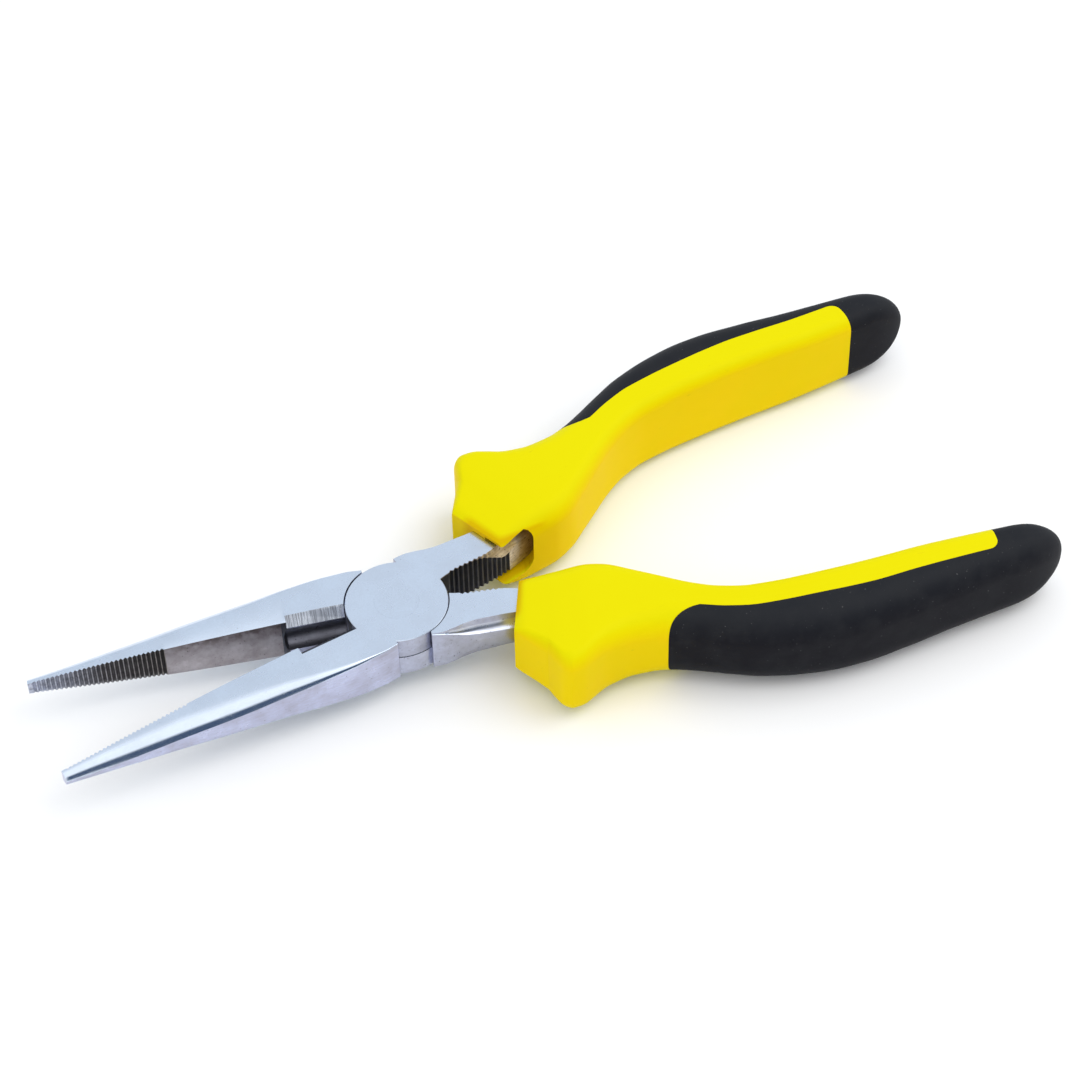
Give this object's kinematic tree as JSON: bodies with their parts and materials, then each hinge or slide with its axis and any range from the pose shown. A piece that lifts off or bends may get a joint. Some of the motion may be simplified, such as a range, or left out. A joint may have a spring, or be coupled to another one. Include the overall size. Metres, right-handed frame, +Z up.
{
  "type": "needle nose pliers",
  "caption": "Long nose pliers with serrated tapered jaws, side cutter, flush riveted lap joint and two-material grips with finger guards.",
  "frame": {"origin": "pivot axis on the joint's lower flat face", "axes": "+X from the pivot towards the handle ends, jaws towards -X; +Z up along the pivot axis, square to the flat joint faces"},
  "size_m": [0.1956, 0.0832, 0.0188],
  "materials": {
    "forged_steel": "ground satin flats, forged sides, pivot polished",
    "rivet_steel": "ground flush with the joint",
    "hard_grip": "smooth matte yellow",
    "soft_grip": "matte black overmould"
  },
  "bodies": {
    "upper_half": {"jaw_half_upper": "forged_steel", "pivot_rivet": "rivet_steel", "grip_upper": "hard_grip", "grip_upper_soft_panel": "soft_grip"},
    "lower_half": {"jaw_half_lower": "forged_steel", "grip_lower": "hard_grip", "grip_lower_soft_panel": "soft_grip"}
  },
  "joints": [
    {"name": "pivot", "type": "hinge", "parent": "upper_half", "child": "lower_half", "pos_m": [0, 0, 0.0049], "axis": [0, 0, -1], "range_deg": [-17.8, 35]}
  ]
}
